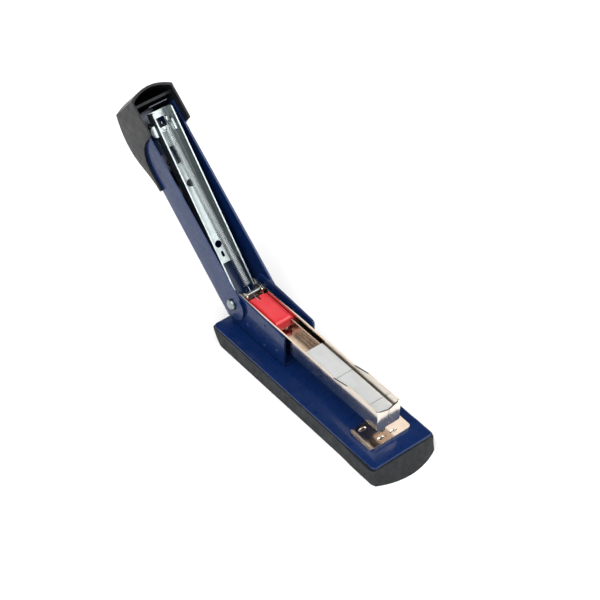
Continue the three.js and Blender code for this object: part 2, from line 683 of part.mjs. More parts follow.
// ---------------------------------------------------------------- carrier pieces
// Drawn closed and level with the pivot at the origin.
function carrierChannel() {
  const arcPoints = [];
  for (let step = 0; step <= 12; step += 1) {
    const turn = rad(35 - (step / 12) * 190);
    arcPoints.push([earRadius * Math.cos(turn), earRadius * Math.sin(turn), 0]);
  }
  const sideView = outlineOf([
    [carrierFront, carrierWeb, 0.6], [carrierFront, carrierRim, 1.2], [6, carrierRim, 2],
    ...arcPoints, [12, carrierWeb, 4],
  ]);
  const section = channelSection(
    carrierHalf, carrierWall, carrierBend, carrierWeb, carrierWeb + earRadius + 1, -1);
  let body = alongX(section, -earRadius - 1, carrierFront)
    .intersect(acrossY(sideView, -carrierHalf - 1, carrierHalf + 1));
  body = body.subtract(box(-10, carrierWebStart, -carrierInner, carrierInner, -10, carrierWeb + 1));
  body = body.subtract(rodY(pinRadius + holeSlack, 0, 0, -carrierHalf - 1, carrierHalf + 1));
  // Openings in the web: spring hook window, long slot, two round holes and a keyhole.
  const [hookFrom, hookTo] = hookWindow.map((back) => carrierFront - back);
  const [slotFrom, slotTo] = longSlot.map((back) => carrierFront - back);
  const windows = [
    roundedRectangle(hookFrom, hookTo, -hookWindowHalf, hookWindowHalf, 0.4),
    roundedRectangle(slotFrom, slotTo, -longSlotHalf, longSlotHalf, 0.6),
    roundedRectangle(keyhole[0], keyhole[1], -keyholeHalf, keyholeHalf, 0.8),
  ];
  windows.forEach((shape) => {
    body = body.subtract(upZ(shape, carrierWeb - 2, carrierWeb + 1));
  });
  [carrierFront - frontHoleBack, rearHoleAhead].forEach((x) => {
    body = body.subtract(rodZ(webHoleRadius, x, 0, carrierWeb - 2, carrierWeb + 1));
  });
  // A round-ended ear is cut from each wall and bent out level, to rest on the magazine's cheeks.
  const ear = new THREE.Shape().absellipse(
    carrierEarAt, 0, carrierEarLength / 2, carrierEarReach, 0, Math.PI);
  const earTop = carrierWeb - 0.5;
  const outward = upZ(ear, earTop - carrierWall, earTop);
  [-1, 1].forEach((side) => {
    const placed = outward.scale([1, side, 1]).translate([0, side * (carrierHalf - 0.1), 0]);
    const window = box(carrierEarAt - carrierEarLength / 2, carrierEarAt + carrierEarLength / 2,
      side > 0 ? carrierInner - 0.5 : -carrierHalf - 0.5, side > 0 ? carrierHalf + 0.5 : 0.5 - carrierInner,
      earTop - carrierWall - carrierEarReach, earTop - carrierWall);
    body = body.subtract(window).add(placed);
  });
  const boss = new THREE.SphereGeometry(1, 20, 12).scale(...bossReach)
    .translate(carrierFront - bossBack, bossAcross, carrierWeb - carrierWall);
  return body.add(solid(boss));
}

// The feed spring runs from the hook window down to the bar behind the pusher, in carrier coordinates.
function feedSpring() {
  const turn = rad(carrierOpenAngle);
  // A place given from the pivot in the open object, seen from the carrier.
  const seen = (x, z) => new THREE.Vector3(
    x * Math.cos(turn) + z * Math.sin(turn), 0, -x * Math.sin(turn) + z * Math.cos(turn));
  const bar = seen(barX - pinX, barZ - pinZ);
  const hook = new THREE.Vector3(carrierEarAt - 1.2, 0, carrierWeb - carrierWall - coilRadius - 0.7);
  const clear = barRadius + gap + springWire;
  const along = hook.clone().sub(bar).normalize();
  const side = new THREE.Vector3(-along.z, 0, along.x);
  const overBar = bar.clone().addScaledVector(side, clear);
  const coilStart = overBar.clone().addScaledVector(along, coilBarGap);
  const length = hook.distanceTo(coilStart);
  const coil = new THREE.CylinderGeometry(coilRadius, coilRadius, length, roundSegments);
  const middle = hook.clone().add(coilStart).multiplyScalar(0.5);
  const direction = hook.clone().sub(coilStart).normalize();
  coil.applyQuaternion(new THREE.Quaternion().setFromUnitVectors(new THREE.Vector3(0, 1, 0), direction));
  coil.translate(middle.x, middle.y, middle.z);
  const frontWire = wireAlong([
    hook.clone().addScaledVector(direction, -1.5), hook.clone().addScaledVector(direction, 1.6),
    new THREE.Vector3(carrierEarAt + 2.7, 0, carrierWeb - 0.9),
    new THREE.Vector3(carrierEarAt + 3.9, 0, carrierWeb - 0.4),
  ], springWire, 12);
  const under = bar.clone().addScaledVector(seen(0.55, -0.83).normalize(), clear);
  const rearWire = wireAlong([
    coilStart.clone().addScaledVector(direction, 1.5), coilStart.clone().addScaledVector(direction, -1),
    overBar, under, seen(pusherRear - pinX + 0.6, barZ - pinZ - clear), seen(pusherRear - pinX + 2.2, 1.7),
  ], springWire, 24);
  return solid(coil).add(frontWire).add(rearWire);
}

// ---------------------------------------------------------------- arm pieces
// Drawn closed and level with the pivot at the origin.
const armSlope = Math.tan(rad(armTaper));
const armBackAt = (x) => armBack - x * armSlope;

// Solid space under the tapered back of the arm, lowered by an offset.
function underBack(offset, half, x0, x1) {
  const shape = outlineOf([
    [x0, -40, 0], [x1, -40, 0], [x1, armBackAt(x1) - offset, 0], [x0, armBackAt(x0) - offset, 0],
  ]);
  return acrossY(shape, -half, half);
}

function armChannel() {
  const arcPoints = [];
  for (let step = 0; step <= 10; step += 1) {
    const turn = rad(-112 - (step / 10) * 116);
    arcPoints.push([armEndRadius * Math.cos(turn), armEndRadius * Math.sin(turn), 0]);
  }
  const sideView = outlineOf([
    [armFront, armBackAt(armFront) + 1, 0], [armFront, armRim, 1.5], [2, armRim, 3], ...arcPoints,
    [-armBackTail, armBackAt(-armBackTail), 1.5], [-armBackTail + 2, armBack + 3, 0],
  ]);
  const section = channelSection(armHalf, armWall, armBend, 0, armBack + armEndRadius + 12, -1);
  const tilt = new THREE.Matrix4().makeRotationY(rad(armTaper)).setPosition(0, 0, armBack);
  const channel = alongX(section, -20, armFront + 10).transform(tilt.toArray());
  let body = channel.intersect(acrossY(sideView, -armHalf - 1, armHalf + 1));
  body = body.subtract(rodY(pinRadius + holeSlack, 0, 0, -armHalf - 1, armHalf + 1));
  [handleSpringRivetX, driverRivetX].forEach((x) => {
    body = body.subtract(rodZ(rivetRadius + holeSlack, x, 0, 0, armBack + 2));
  });
  return body;
}

// A rivet that hangs from the arm's back and holds a sheet of the given thickness.
function backRivet(x, sheet) {
  const outside = armBackAt(x) - 0.15;
  const under = armBackAt(x) - armWall - gap - sheet - gap;
  const head = solid(domedHead(rivetHeadRadius - 0.4, 0.9).rotateX(Math.PI).translate(x, 0, under));
  return rodZ(rivetRadius, x, 0, under - 0.1, outside).add(head);
}

function handleSpring() {
  const inside = (x) => armBackAt(x) - armWall - gap - leafThickness / 2;
  const turn = rad(armLift);
  // Height of the carrier's back under a place on the arm at rest.
  const carrierBackAt = (x) => (carrierWeb - x * Math.sin(turn)) / Math.cos(turn);
  const held = handleSpringRivetX;
  const touchAt = held - handleSpringReach;
  const touch = carrierBackAt(touchAt) + gap + leafThickness;
  const spring = leaf([
    [held + 6, inside(held + 6)], [held, inside(held)], [held - 6, inside(held - 6) - 0.1],
    [held - 20, inside(held - 20) - 1.6], [touchAt + 6, touch + 1.2], [touchAt, touch],
    [touchAt - 3.5, touch + 1.4],
  ], leafThickness, -handleSpringHalf, handleSpringHalf);
  return spring.subtract(rodZ(rivetRadius + holeSlack, handleSpringRivetX, 0, 0, armBack));
}

const driverHalf = crownWidth / 2 - driverSideAir;
const fullPress = rad(armLift - pressStroke);

// The blade stands in the slot when the arm is closed and fully pressed; the foot lies on the arm's back.
function driverBlade() {
  const place = slotMiddle - pinX;
  const low = -floorBelowPin + 0.15;
  const inside = armBackAt(armFront) - armWall - gap;
  const high = inside * Math.cos(fullPress) + place * Math.sin(fullPress) - 0.15;
  const blade = box(
    place - driverThickness / 2, place + driverThickness / 2, -driverHalf, driverHalf, low, high);
  const turned = blade.transform(new THREE.Matrix4().makeRotationY(fullPress).toArray());
  const foot = box(driverRivetX - 4, armFront + 3.4, -driverHalf, driverHalf, -40, 40)
    .intersect(underBack(armWall + gap, 20, armFront - 28, armFront + 12))
    .subtract(underBack(armWall + gap + driverThickness, 21, armFront - 38, armFront + 22));
  return turned.add(foot)
    .subtract(rodZ(rivetRadius + holeSlack, driverRivetX, 0, 0, armBack));
}

const capHalf = armHalf + gap + capWall;
const capNose = armFront + capFront + capNoseRise;

// Height of the cap's back: up from its tail to the thumb rest, then down and round into the nose.
function capBackAt(x, nose) {
  const climb = softStep(x, capTail, capHumpAt);
  const rise = capTailRise + (capHump - capTailRise) * climb;
  const fallStart = capHumpAt + 4;
  const fall = THREE.MathUtils.clamp((x - fallStart) / (nose - fallStart), 0, 1);
  const round = 1 - Math.sqrt(1 - fall * fall * 0.96);
  return armBackAt(x) + rise - capNoseFall * fall ** 1.5 - capNoseRound * round;
}

// A solid along the arm under the cap's back, its plan rounded at the nose; inset shrinks it on every side.
function capBlock(rear, inset, bottom, bend) {
  const nose = capNose - inset * 1.1;
  const half = capHalf - inset;
  const noseStart = nose - capNoseRise;
  const places = [];
  for (let step = 0; step <= 12; step += 1) {
    places.push(rear + ((noseStart - rear) * step) / 12);
  }
  for (let step = 1; step <= 8; step += 1) {
    places.push(nose - capNoseRise * (1 - step / 8) ** 2 - 0.01);
  }
  const rings = places.map((x) => {
    const across = x <= noseStart ? half : half * Math.sqrt((nose - x) / capNoseRise);
    const bendHere = Math.min(bend, across * 0.9);
    const top = capBackAt(Math.min(x + inset, capNose), capNose) - inset * 1.2;
    const ring = [[-across, bottom, x], [across, bottom, x]];
    // The bend on each side, from +Y over the back to -Y.
    [1, -1].forEach((side) => {
      for (let step = 0; step <= 5; step += 1) {
        const turn = (side > 0 ? step : 5 - step) / 5 * Math.PI / 2;
        const y = side * (across - bendHere + bendHere * Math.cos(turn));
        ring.push([y, top - bendHere + bendHere * Math.sin(turn), x]);
      }
    });
    return ring;
  });
  const stand = new THREE.Matrix4().makeBasis(
    new THREE.Vector3(0, 1, 0), new THREE.Vector3(0, 0, 1), new THREE.Vector3(1, 0, 0));
  return loft(rings).transform(stand.toArray());
}

const ribBack = armFront + 4.1;
const ribThickness = 1.5;
const ribEdge = armRim - 0.5;

function armCap() {
  const sideView = new THREE.Shape();
  sideView.moveTo(capSideRear + 1.5, capOpenEdge);
  sideView.lineTo(capNose + 1, capOpenEdge);
  sideView.lineTo(capNose + 1, 40);
  sideView.lineTo(capTail, 40);
  sideView.lineTo(capTail, armBackAt(capTail) - 3.1);
  sideView.lineTo(capTail + 9, armBackAt(capTail) - 3.2);
  sideView.quadraticCurveTo(capSideRear - 2, armBackAt(capTail) - 2.8, capSideRear - 0.4, -9);
  sideView.lineTo(capSideRear, capOpenEdge + 1.5);
  sideView.quadraticCurveTo(capSideRear, capOpenEdge, capSideRear + 1.5, capOpenEdge);
  const outside = capBlock(capTail, 0, capOpenEdge, capBend);
  const shell = outside.intersect(acrossY(sideView, -capHalf - 1, capHalf + 1))
    .subtract(capBlock(capTail + 12, capWall, capOpenEdge - 5, capBend - capWall));
  const armSpace = capBlock(capTail - 5, capWall, capOpenEdge - 5, 0.5)
    .intersect(underBack(-gap, capHalf, capTail - 5, capNose + 5));
  const rib = box(ribBack, ribBack + ribThickness, -capHalf + 0.4, capHalf - 0.4, ribEdge, 30)
    .intersect(capBlock(capTail, 0.4, capOpenEdge, capBend));
  return shell.subtract(armSpace).add(rib);
}

// ---------------------------------------------------------------- the assembly
const stapler = new THREE.Group();

function put(group, name, body, material) {
  const geometry = geometryOf(body);
  const mesh = new THREE.Mesh(geometry, material);
  mesh.name = name;
  group.add(mesh);
}

put(stapler, 'base_pad', basePad(), padRubber());
put(stapler, 'base_plate', basePlate(), navyPaint());
put(stapler, 'bracket', bracket(), navyPaint());
put(stapler, 'bracket_rivet_rear', bracketRivet(rearRivetAhead, liftSpringSeat), zinc());
put(stapler, 'bracket_rivet_front', bracketRivet(frontRivetAhead, bracketFloor), zinc());
put(stapler, 'pivot_pin', pivotPin(), zinc());
put(stapler, 'magazine_lift_spring', liftSpring(), springSteel());
put(stapler, 'anvil_spring', anvilSpring(), springSteel());

put(stapler, 'anvil_plate', anvilPlate(), nickel());
put(stapler, 'anvil_post', anvilPost(), zinc());
put(stapler, 'anvil_button', anvilButton(), zinc());

put(stapler, 'magazine_casing', magazineCasing(), chrome());
put(stapler, 'core_rail', coreRail(), zinc());
coreRivetPlaces.forEach((x, index) => {
  put(stapler, index === 0 ? 'core_rivet_rear' : 'core_rivet_front', coreRivet(x), zinc());
});
put(stapler, 'spring_bar', springBar(), zinc());
stripEnds.forEach((ends, index) => {
  put(stapler, `staple_strip_${index + 1}`, stapleStrip(ends), stapleSteel());
});
put(stapler, 'pusher', pusher(), redPlastic());

const carrier = new THREE.Group();
carrier.position.set(pinX, 0, pinZ);
carrier.rotation.y = -rad(carrierOpenAngle);
stapler.add(carrier);
put(carrier, 'carrier_channel', carrierChannel(), zinc());
put(carrier, 'feed_spring', feedSpring(), springSteel());

const arm = new THREE.Group();
arm.rotation.y = -rad(armLift);
carrier.add(arm);
put(arm, 'arm_channel', armChannel(), navyPaint());
put(arm, 'arm_cap', armCap(), blackPlastic());
put(arm, 'driver_blade', driverBlade(), springSteel());
put(arm, 'driver_rivet', backRivet(driverRivetX, driverThickness), zinc());
put(arm, 'handle_spring', handleSpring(), springSteel());
put(arm, 'handle_spring_rivet', backRivet(handleSpringRivetX, leafThickness), zinc());

export default stapler;
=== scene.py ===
# %% [markdown]
# # A desk stapler, standing open for loading
# Every metal and plastic part of this stapler was drawn to size in a CAD program and packed with its
# joints. Blender never moves those parts. This lesson gives them the looks of the real thing: stove
# enamel, mirror plating, moulded rubber, and the fine pieces that a CAD solid leaves plain, such as
# coils and rows of staples.

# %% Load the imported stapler
import json
import math
import bmesh
import bpy
import numpy as np
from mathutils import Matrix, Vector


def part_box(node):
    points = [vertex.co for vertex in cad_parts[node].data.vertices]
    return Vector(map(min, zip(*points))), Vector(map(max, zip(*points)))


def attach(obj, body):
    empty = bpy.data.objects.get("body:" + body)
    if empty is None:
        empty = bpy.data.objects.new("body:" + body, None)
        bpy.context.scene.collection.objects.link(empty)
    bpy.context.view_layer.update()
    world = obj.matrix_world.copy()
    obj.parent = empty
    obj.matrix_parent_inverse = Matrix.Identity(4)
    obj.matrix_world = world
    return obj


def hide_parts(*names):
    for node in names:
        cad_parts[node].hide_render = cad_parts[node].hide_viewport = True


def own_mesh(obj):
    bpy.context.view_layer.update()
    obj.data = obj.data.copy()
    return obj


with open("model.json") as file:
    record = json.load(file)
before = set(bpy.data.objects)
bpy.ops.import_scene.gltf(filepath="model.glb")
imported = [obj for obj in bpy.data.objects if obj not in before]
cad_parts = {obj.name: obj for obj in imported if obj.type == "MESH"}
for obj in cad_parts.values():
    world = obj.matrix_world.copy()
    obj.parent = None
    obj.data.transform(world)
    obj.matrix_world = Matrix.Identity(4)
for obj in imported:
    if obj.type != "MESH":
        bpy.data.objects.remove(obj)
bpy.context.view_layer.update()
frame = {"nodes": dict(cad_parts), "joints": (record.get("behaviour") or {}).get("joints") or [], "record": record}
joints = {joint["name"]: joint for joint in frame["joints"]}
MM = 0.001

# %% [markdown]
# ## Measures shared by the pieces
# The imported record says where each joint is, so the rear pin and the opening angle come from there. A
# part's box gives its lowest and highest corner. Nothing is measured twice.

# %% Pin, opening angle and a part's box
PIN = np.array(joints["carrier_hinge"]["pos_m"])
OPEN = math.radians(joints["carrier_hinge"]["range_deg"][1])


def box_of(node):
    """Lowest and highest corner of a CAD part, as numpy rows."""
    low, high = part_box(node)
    return np.array(low), np.array(high)


def from_pin(along, above):
    """A place along and above the opened carrier, turned about the pin by the opening angle."""
    cos, sin = math.cos(OPEN), math.sin(OPEN)
    return PIN + np.array([along * cos - above * sin, 0, along * sin + above * cos])


print("pin at", PIN, "opened by", round(math.degrees(OPEN), 1), "degrees")

# %% [markdown]
# ## Building a finish from nodes
# Real surfaces are never one flat colour. Each finish starts as a Principled shader, and small helpers
# add what the eye expects: drifting roughness, a little colour change, relief, and paint rubbed thin
# on edges. Patterns read Object coordinates, which are metres here, so a scale of 1000 gives marks
# about 1 mm apart.

# %% A plain shader to start from
def start_finish(name, colour, metallic, roughness, **even):
    """A new material. Even values that hold all over the surface go straight on the shader's sockets."""
    material = bpy.data.materials.new(name)
    material.use_nodes = True
    shader = material.node_tree.nodes["Principled BSDF"]
    shader.inputs["Base Color"].default_value = (*colour, 1)
    shader.inputs["Metallic"].default_value = metallic
    shader.inputs["Roughness"].default_value = roughness
    for socket, value in even.items():
        shader.inputs[socket.replace("_", " ")].default_value = value
    return material


def shader_of(material):
    return material.node_tree.nodes["Principled BSDF"]


# %% A noise pattern in metres
NOISE_ROUGHNESS = 0.55  # how strong each finer layer of the noise is


def noise(material, scale, stretch=(1, 1, 1), detail=3.0):
    """A noise with that many waves per metre, drawn out along an axis by a small stretch value."""
    nodes, links = material.node_tree.nodes, material.node_tree.links
    coords = nodes.new("ShaderNodeTexCoord")
    mapping = nodes.new("ShaderNodeMapping")
    mapping.inputs["Scale"].default_value = stretch
    texture = nodes.new("ShaderNodeTexNoise")
    texture.inputs["Scale"].default_value = scale
    texture.inputs["Detail"].default_value = detail
    texture.inputs["Roughness"].default_value = NOISE_ROUGHNESS
    links.new(coords.outputs["Object"], mapping.inputs["Vector"])
    links.new(mapping.outputs["Vector"], texture.inputs["Vector"])
    return texture.outputs["Fac"]


def remap(material, value, low, high, from_low=0.3, from_high=0.7):
    """Stretches a pattern's middle band to the range low to high."""
    node = material.node_tree.nodes.new("ShaderNodeMapRange")
    node.inputs["From Min"].default_value = from_low
    node.inputs["From Max"].default_value = from_high
    node.inputs["To Min"].default_value = low
    node.inputs["To Max"].default_value = high
    material.node_tree.links.new(value, node.inputs["Value"])
    return node.outputs["Result"]


# %% Roughness, colour and relief that vary
def vary_roughness(material, value, low, high):
    """The roughness drifts between low and high with a pattern."""
    result = remap(material, value, low, high)
    material.node_tree.links.new(result, shader_of(material).inputs["Roughness"])


def blend_colour(material, share, colour):
    """Lays a second colour over whatever colours the surface now, by a share from 0 to 1."""
    nodes, links = material.node_tree.nodes, material.node_tree.links
    base = shader_of(material).inputs["Base Color"]
    mix = nodes.new("ShaderNodeMix")
    mix.data_type = "RGBA"
    mix.inputs["A"].default_value = base.default_value[:]
    if base.is_linked:
        links.new(base.links[0].from_socket, mix.inputs["A"])
    mix.inputs["B"].default_value = (*colour, 1)
    links.new(share, mix.inputs["Factor"])
    links.new(mix.outputs["Result"], base)


def relief(material, value, depth, strength):
    """Bumps of that depth in metres, added on top of any relief the finish already has."""
    nodes, links = material.node_tree.nodes, material.node_tree.links
    normal = shader_of(material).inputs["Normal"]
    bump = nodes.new("ShaderNodeBump")
    bump.inputs["Strength"].default_value = strength
    bump.inputs["Distance"].default_value = depth
    if normal.is_linked:
        links.new(normal.links[0].from_socket, bump.inputs["Normal"])
    links.new(value, bump.inputs["Height"])
    links.new(bump.outputs["Normal"], normal)


# %% [markdown]
# Paint and moulded plastic rub thin on edges first. A Bevel node asks what the normal would be if the
# edges were rounded. Where that differs from the true normal there is an edge, and noise breaks the
# line up.

# %% Edges that are rubbed
BEVEL_SAMPLES = 6
EDGE_DOT = (0.72, 0.97)  # the dot product at a full edge and on a flat face
PATCHES = 900  # rubbed patches per metre
PATCH_BAND = (0.42, 0.62)  # the noise values between no rubbing and full rubbing


def worn_edges(material, colour, radius, amount):
    """Lays a colour where the dot product of the rounded and the true normal falls, times noise."""
    nodes, links = material.node_tree.nodes, material.node_tree.links
    bevel = nodes.new("ShaderNodeBevel")
    bevel.samples = BEVEL_SAMPLES
    bevel.inputs["Radius"].default_value = radius
    true = nodes.new("ShaderNodeNewGeometry")
    dot = nodes.new("ShaderNodeVectorMath")
    dot.operation = "DOT_PRODUCT"
    links.new(bevel.outputs["Normal"], dot.inputs[0])
    links.new(true.outputs["Normal"], dot.inputs[1])
    edge = remap(material, dot.outputs["Value"], amount, 0.0, *EDGE_DOT)
    patch = remap(material, noise(material, PATCHES), 0.0, 1.0, *PATCH_BAND)
    both = nodes.new("ShaderNodeMath")
    both.operation = "MULTIPLY"
    links.new(edge, both.inputs[0])
    links.new(patch, both.inputs[1])
    blend_colour(material, both.outputs["Value"], colour)


# %% [markdown]
# ## The painted steel
# The base plate, the bracket and the arm are pressed steel in navy stove enamel. Enamel flows out
# smooth and glossy but keeps a faint orange peel a few millimetres wide, and it gathers a film of fine
# dust and rubs. Tinting the coat and the shine blue keeps the pale room from greying the paint.

# %% Navy enamel
navy = start_finish("navy_enamel", (0.0025, 0.0125, 0.06), 0.0, 0.3,
                    Coat_Weight=0.24, Coat_Roughness=0.06, Coat_IOR=1.5, Coat_Tint=(0.72, 0.86, 1, 1),
                    Specular_IOR_Level=0.24, Specular_Tint=(0.68, 0.84, 1, 1))
blend_colour(navy, remap(navy, noise(navy, 60), 0.0, 0.5), (0.004, 0.019, 0.092))
navy_dust = remap(navy, noise(navy, 2600, detail=5), 0.0, 0.06, 0.66, 0.8)
blend_colour(navy, navy_dust, (0.03, 0.05, 0.11))
vary_roughness(navy, noise(navy, 180, detail=5), 0.2, 0.42)
relief(navy, noise(navy, 320, detail=1.0), 0.00004, 0.25)
relief(navy, noise(navy, 3800, (0.12, 1, 1), detail=3), 0.00001, 0.3)
worn_edges(navy, (0.09, 0.11, 0.2), 0.0005, 0.55)
print("enamel nodes:", len(navy.node_tree.nodes))

# %% [markdown]
# ## Rubber and moulded plastic
# The pad under the base is rubber with a fine matt grain, greyed by dust on top. The cap on the arm is
# hard black plastic with a satin moulded grain. The pusher is glossier red plastic.

# %% Pad rubber, cap plastic and pusher plastic
rubber = start_finish("pad_rubber", (0.01, 0.012, 0.013), 0.0, 0.75, Specular_IOR_Level=0.3)
blend_colour(rubber, remap(rubber, noise(rubber, 90, detail=6), 0.0, 0.6), (0.024, 0.027, 0.029))
rubber_dust = remap(rubber, noise(rubber, 1500, detail=6), 0.0, 0.3, 0.55, 0.75)
blend_colour(rubber, rubber_dust, (0.1, 0.1, 0.095))
vary_roughness(rubber, noise(rubber, 300, detail=5), 0.6, 0.9)
relief(rubber, noise(rubber, 2200, detail=4), 0.00012, 0.5)
worn_edges(rubber, (0.12, 0.12, 0.115), 0.0007, 0.5)

black = start_finish("cap_plastic", (0.006, 0.0065, 0.008), 0.0, 0.4, Specular_IOR_Level=0.28)
blend_colour(black, remap(black, noise(black, 120, detail=5), 0.0, 0.6), (0.011, 0.0118, 0.0145))
vary_roughness(black, noise(black, 240, detail=5), 0.34, 0.52)
relief(black, noise(black, 3200, detail=3), 0.00006, 0.45)
worn_edges(black, (0.09, 0.09, 0.095), 0.0006, 0.6)

red = start_finish("pusher_plastic", (0.55, 0.014, 0.025), 0.0, 0.36, Coat_Weight=0.25,
                   Coat_Roughness=0.18, Subsurface_Weight=0.06, Subsurface_Scale=0.0015)
blend_colour(red, remap(red, noise(red, 150, detail=4), 0.0, 0.5), (0.68, 0.045, 0.055))
vary_roughness(red, noise(red, 500, detail=4), 0.28, 0.46)
relief(red, noise(red, 2600, detail=3), 0.00005, 0.4)
worn_edges(red, (0.9, 0.35, 0.35), 0.0004, 0.4)
print("plastics made:", rubber.name, black.name, red.name)

# %% [markdown]
# ## Plated and bare metal
# Plating copies the sheet below it, so chrome on pressed steel shows the faint drawing lines of the
# press, all along the magazine. Zinc is duller and streaked. Staples are fine bright wires glued side
# by side.

# %% Chrome, nickel, zinc, spring steel and staple wire
def plated(name, colour, dark, low, high, line_scale, depth, stretch=(0.06, 1, 1)):
    """A metal whose tint, roughness and drawing lines all follow patterns drawn out along X."""
    metal = start_finish(name, colour, 1.0, low)
    blend_colour(metal, remap(metal, noise(metal, 110, detail=5), 0.0, 0.6), dark)
    vary_roughness(metal, noise(metal, line_scale, stretch, detail=5), low, high)
    relief(metal, noise(metal, line_scale, stretch, detail=4), depth, 0.35)
    relief(metal, noise(metal, 130, detail=2), depth * 3, 0.25)
    return metal


chrome = plated("chrome_plate", (0.8, 0.74, 0.67), (0.62, 0.54, 0.46), 0.05, 0.17, 2400, 0.000012)
nickel = plated("bright_nickel", (0.84, 0.76, 0.68), (0.68, 0.58, 0.5), 0.08, 0.2, 2600, 0.000012)
rail = plated("rail_plate", (0.74, 0.62, 0.51), (0.5, 0.4, 0.31), 0.14, 0.3, 1500, 0.00003)
blued = plated("blued_steel", (0.07, 0.075, 0.09), (0.035, 0.038, 0.05), 0.22, 0.4, 2400, 0.00002)
zinc = plated("zinc_plate", (0.35, 0.39, 0.39), (0.23, 0.268, 0.268), 0.24, 0.46, 1500, 0.00003,
              stretch=(0.03, 1, 1))
spring_steel = plated("spring_steel", (0.6, 0.64, 0.65), (0.42, 0.46, 0.47), 0.24, 0.4, 3000, 0.00002)
# A film of glue joins the wires, so they scatter more light than bare metal does.
staple_wire = start_finish("staple_wire", (0.66, 0.68, 0.68), 0.6, 0.4)
wire_tint = remap(staple_wire, noise(staple_wire, 240, detail=4), 0.0, 0.5)
blend_colour(staple_wire, wire_tint, (0.56, 0.58, 0.58))
vary_roughness(staple_wire, noise(staple_wire, 900, (1, 0.2, 1), detail=3), 0.34, 0.5)
relief(staple_wire, noise(staple_wire, 1500, (1, 0.1, 1), detail=2), 0.00001, 0.3)
worn_edges(nickel, (0.95, 0.92, 0.86), 0.0005, 0.5)
worn_edges(zinc, (0.8, 0.83, 0.82), 0.0005, 0.45)
FINISHES = {"navy_paint": navy, "pad_rubber": rubber, "chrome_plate": chrome, "bright_nickel": nickel,
            "zinc_plate": zinc, "spring_steel": spring_steel, "staple_wire": staple_wire,
            "red_plastic": red, "black_plastic": black}
print("finishes:", sorted(FINISHES))

# %% [markdown]
# ## Which part takes which finish
# The record already names a finish slot for every part, so the lesson reads it from there. A few steel
# parts share a slot with others but look darker, so they are named here. The finish goes on the CAD
# part's own mesh, and every copy of that mesh made later brings it along.

# %% Finish every CAD part
FINISHES_BY_PART = {"core_rail": rail, "driver_blade": blued, "handle_spring": blued,
                    "driver_rivet": blued, "handle_spring_rivet": blued}
SLOTS = {row["node"]: row["material_slot"] for row in frame["record"]["subparts"]}
MEMBERS = frame["record"]["behaviour"]["bodies"]
BODIES = {node: body for body, members in MEMBERS.items() for node in members}
for node, part in frame["nodes"].items():
    part.data.materials.clear()
    part.data.materials.append(FINISHES_BY_PART.get(node, FINISHES[SLOTS[node]]))
print("finished CAD parts:", len(SLOTS))

# %% [markdown]
# ## Putting a numpy surface into a mesh
# A new piece is computed as whole arrays: a grid of points, and the four-sided faces between
# neighbours. The mesh is then closed by merging its seam and poles, and the faces are turned to point
# outwards.

# %% Grid faces and a new piece
SEAM_GAP = 1e-7  # points closer than this are one point


def grid_faces(rows, columns, closed):
    """Faces between neighbouring rows of points. Closed joins the last column to the first."""
    strips = columns if closed else columns - 1
    row, column = np.meshgrid(np.arange(rows - 1), np.arange(strips), indexing="ij")
    here, beside = row * columns + column, row * columns + (column + 1) % columns
    return np.stack([here, beside, beside + columns, here + columns], axis=-1).reshape(-1, 4)


def joined(surfaces):
    """Several (points, faces) pairs as one pair."""
    points, faces, offset = [], [], 0
    for some_points, some_faces in surfaces:
        points.append(some_points.reshape(-1, 3))
        faces.append(np.asarray(some_faces) + offset)
        offset += len(points[-1])
    return np.concatenate(points), np.concatenate(faces)


def new_piece(name, surface, stands_for):
    """Makes the object, closes its seams, turns its faces outwards, and lets it stand for a CAD part."""
    points, faces = surface
    mesh = bpy.data.meshes.new(name)
    mesh.from_pydata(points.tolist(), [], faces.tolist())
    tidy = bmesh.new()
    tidy.from_mesh(mesh)
    bmesh.ops.remove_doubles(tidy, verts=tidy.verts, dist=SEAM_GAP)
    bmesh.ops.recalc_face_normals(tidy, faces=tidy.faces)
    tidy.to_mesh(mesh)
    tidy.free()
    mesh.shade_smooth()
    mesh.materials.append(FINISHES[SLOTS[stands_for]])
    piece = bpy.data.objects.new(name, mesh)
    bpy.context.scene.collection.objects.link(piece)
    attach(piece, BODIES[stands_for])
    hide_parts(stands_for)
    print(name, "faces:", len(mesh.polygons))
    return piece


# %% [markdown]
# ## Smooth copies of the pressed and moulded parts
# A CAD mesh is loose triangles with knife-sharp edges. Real pressings have a small round on every edge
# that catches the light. Here a copy is merged, its flat areas are joined into single faces, shading
# turns smooth below a chosen angle, and a Bevel modifier rounds the remaining edges.

# %% A merged, bevelled copy
CAD_SEAM_GAP = 2e-6
FLAT_WITHIN = math.radians(0.6)
SMOOTH_BELOW = math.radians(32)
BEVEL_SEGMENTS = 2


